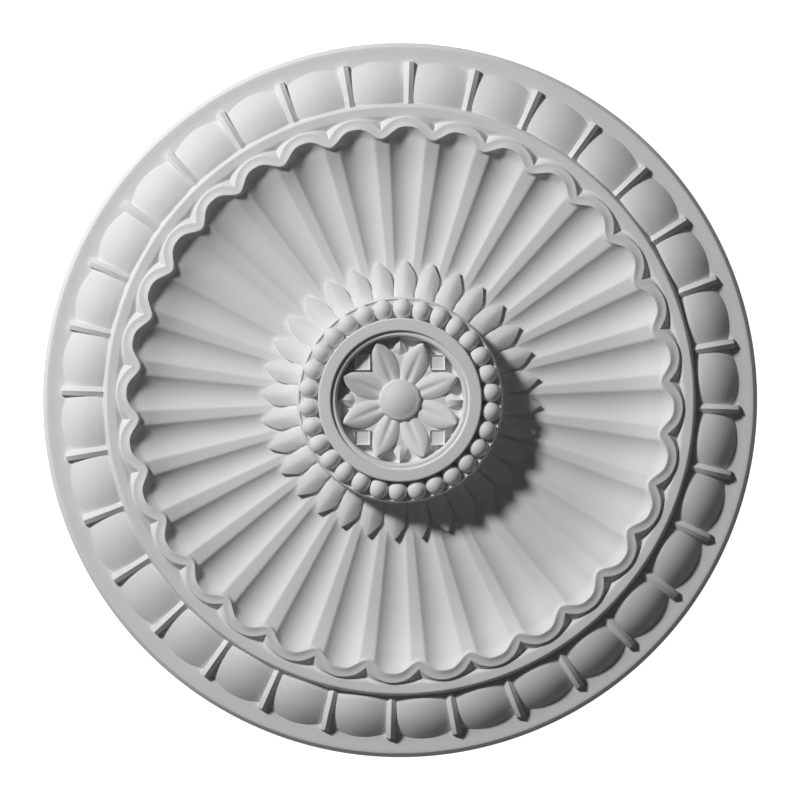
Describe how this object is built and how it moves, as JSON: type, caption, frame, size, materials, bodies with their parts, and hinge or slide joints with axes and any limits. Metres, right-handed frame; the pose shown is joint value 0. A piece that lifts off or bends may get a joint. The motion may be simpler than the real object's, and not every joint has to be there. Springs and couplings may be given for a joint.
{
  "type": "ceiling rose",
  "caption": "Round moulded ceiling rose with egg and reel border, scalloped lip, fluted dish, leaf crown and beaded drum round a petalled flower; hides and frames a lamp fixing",
  "frame": {"origin": "centre of the flat back, which is bonded to the ceiling", "axes": "+Z out of the moulded face, away from the back; the part lies on its back with the relief up and is turned over to go on a ceiling; +X and +Y run through two opposite pairs of lattice gaps, between petals"},
  "size_m": [0.61, 0.61, 0.06],
  "materials": {
    "primed_foam": "matte white primer on rigid moulded polyurethane foam"
  },
  "bodies": {
    "root": {"ceiling_rose": "primed_foam"}
  },
  "joints": []
}
